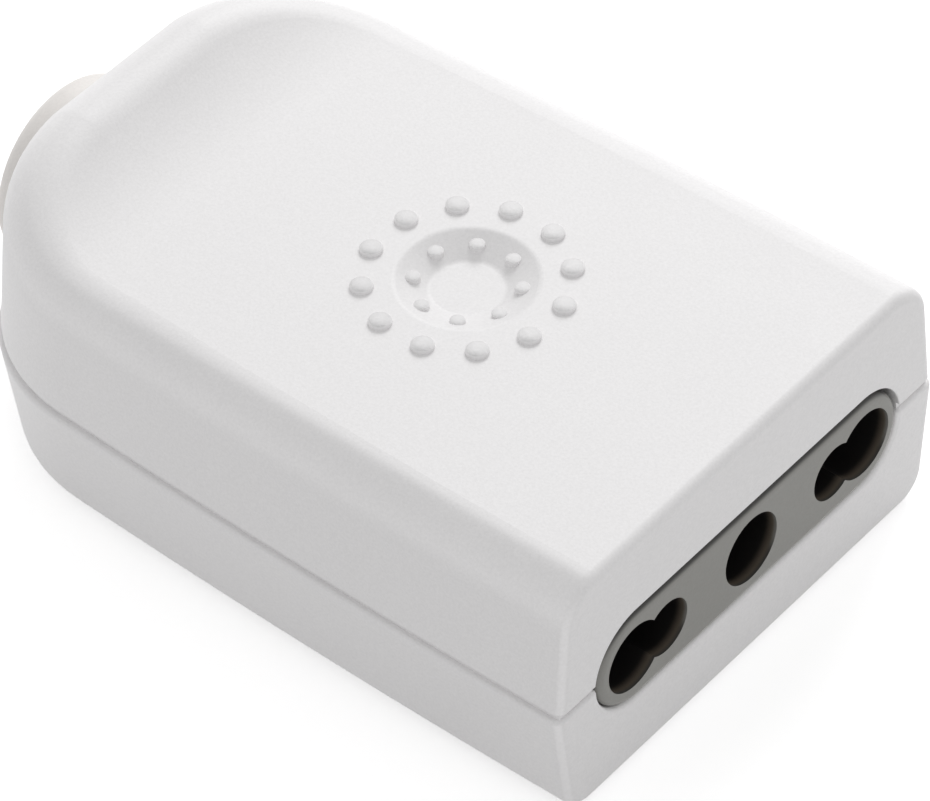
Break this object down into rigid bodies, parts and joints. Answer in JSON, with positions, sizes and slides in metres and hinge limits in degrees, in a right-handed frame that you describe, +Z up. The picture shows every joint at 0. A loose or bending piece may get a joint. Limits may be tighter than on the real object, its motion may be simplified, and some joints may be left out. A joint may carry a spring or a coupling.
{
  "type": "in-line power socket",
  "caption": "White in-line mains socket: two-part casing with an upswept rear lip and a dotted thumb dish, grey slot-shaped face with pin holes, cream cable collar behind.",
  "frame": {"origin": "centre of the bounding box on the underside that the socket lies on", "axes": "+Y from the pin holes towards the cable outlet, +Z up from the underside, +X to the right seen from the pin holes' side"},
  "size_m": [0.0428, 0.065, 0.0245],
  "materials": {
    "white_casing": "white moulded plastic with a very fine matt grain",
    "grey_insert": "warm grey moulded plastic, satin",
    "cream_collar": "cream moulded plastic, satin",
    "clamp_plastic": "white moulded plastic",
    "contact_brass": "rolled and cut brass",
    "spring_steel": "spring steel strip",
    "screw_steel": "zinc-plated steel"
  },
  "bodies": {
    "root": {"upper_shell": "white_casing", "lower_shell": "white_casing", "socket_insert": "grey_insert", "cable_collar": "cream_collar", "cable_clamp": "clamp_plastic", "line_contact": "contact_brass", "line_terminal": "contact_brass", "line_contact_spring": "spring_steel", "line_terminal_screw": "screw_steel", "neutral_contact": "contact_brass", "neutral_terminal": "contact_brass", "neutral_contact_spring": "spring_steel", "neutral_terminal_screw": "screw_steel", "earth_contact": "contact_brass", "earth_terminal": "contact_brass", "earth_contact_spring": "spring_steel", "earth_terminal_screw": "screw_steel", "clamp_screw_right": "screw_steel", "shell_screw_right": "screw_steel", "clamp_screw_left": "screw_steel", "shell_screw_left": "screw_steel"}
  },
  "joints": []
}
